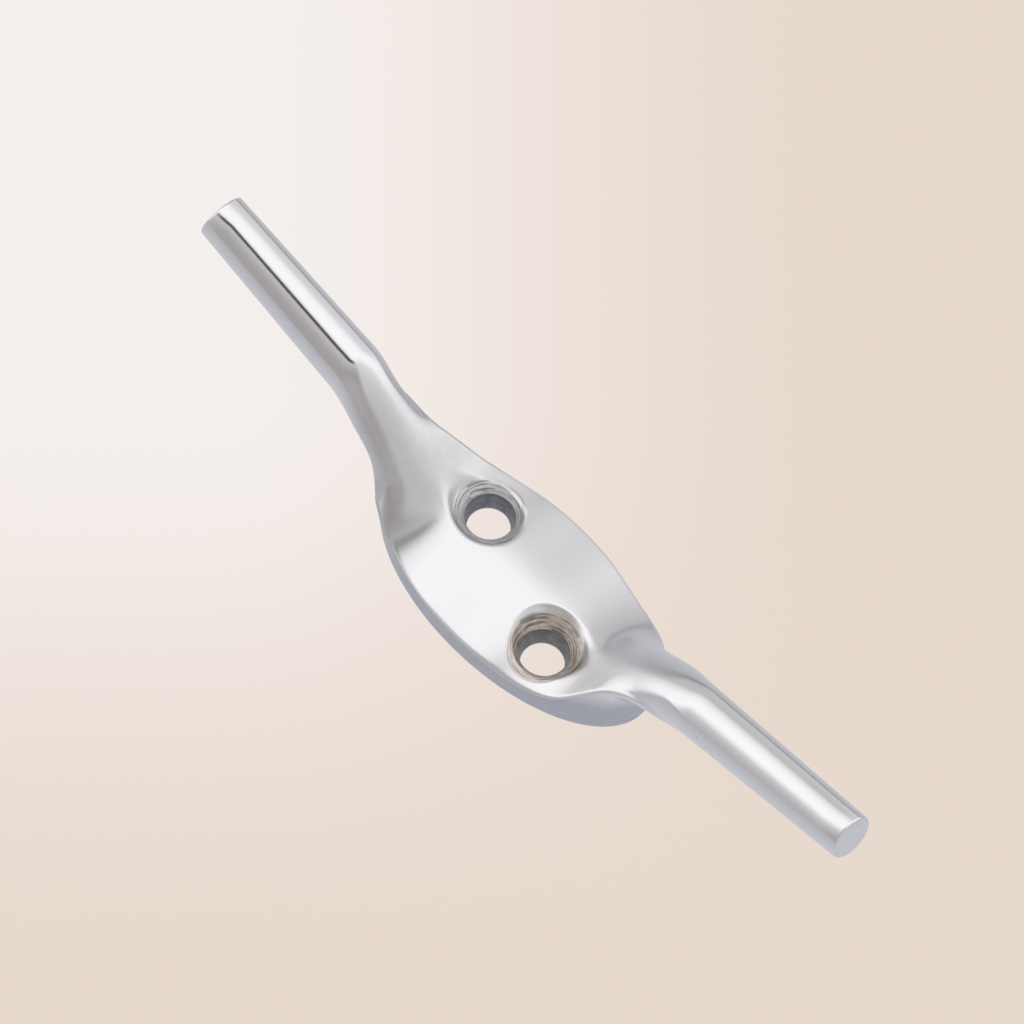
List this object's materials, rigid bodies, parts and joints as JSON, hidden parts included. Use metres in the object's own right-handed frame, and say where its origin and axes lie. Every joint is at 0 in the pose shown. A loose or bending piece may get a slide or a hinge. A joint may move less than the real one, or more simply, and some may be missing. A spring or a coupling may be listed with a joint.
{
  "type": "cord cleat",
  "caption": "One-piece chrome-plated cord cleat: an oval screw-down foot with two countersunk holes and two rising round horns.",
  "frame": {"origin": "middle of the flat mounting face, on the wall plane", "axes": "+X runs along the horns, +Y across the foot, +Z points away from the wall"},
  "size_m": [0.101, 0.0198, 0.0205],
  "materials": {
    "polished_chrome": "polished chrome plate on a cast body, lightly polished, with turning marks left in the countersinks"
  },
  "bodies": {
    "root": {"cleat_casting": "polished_chrome"}
  },
  "joints": []
}
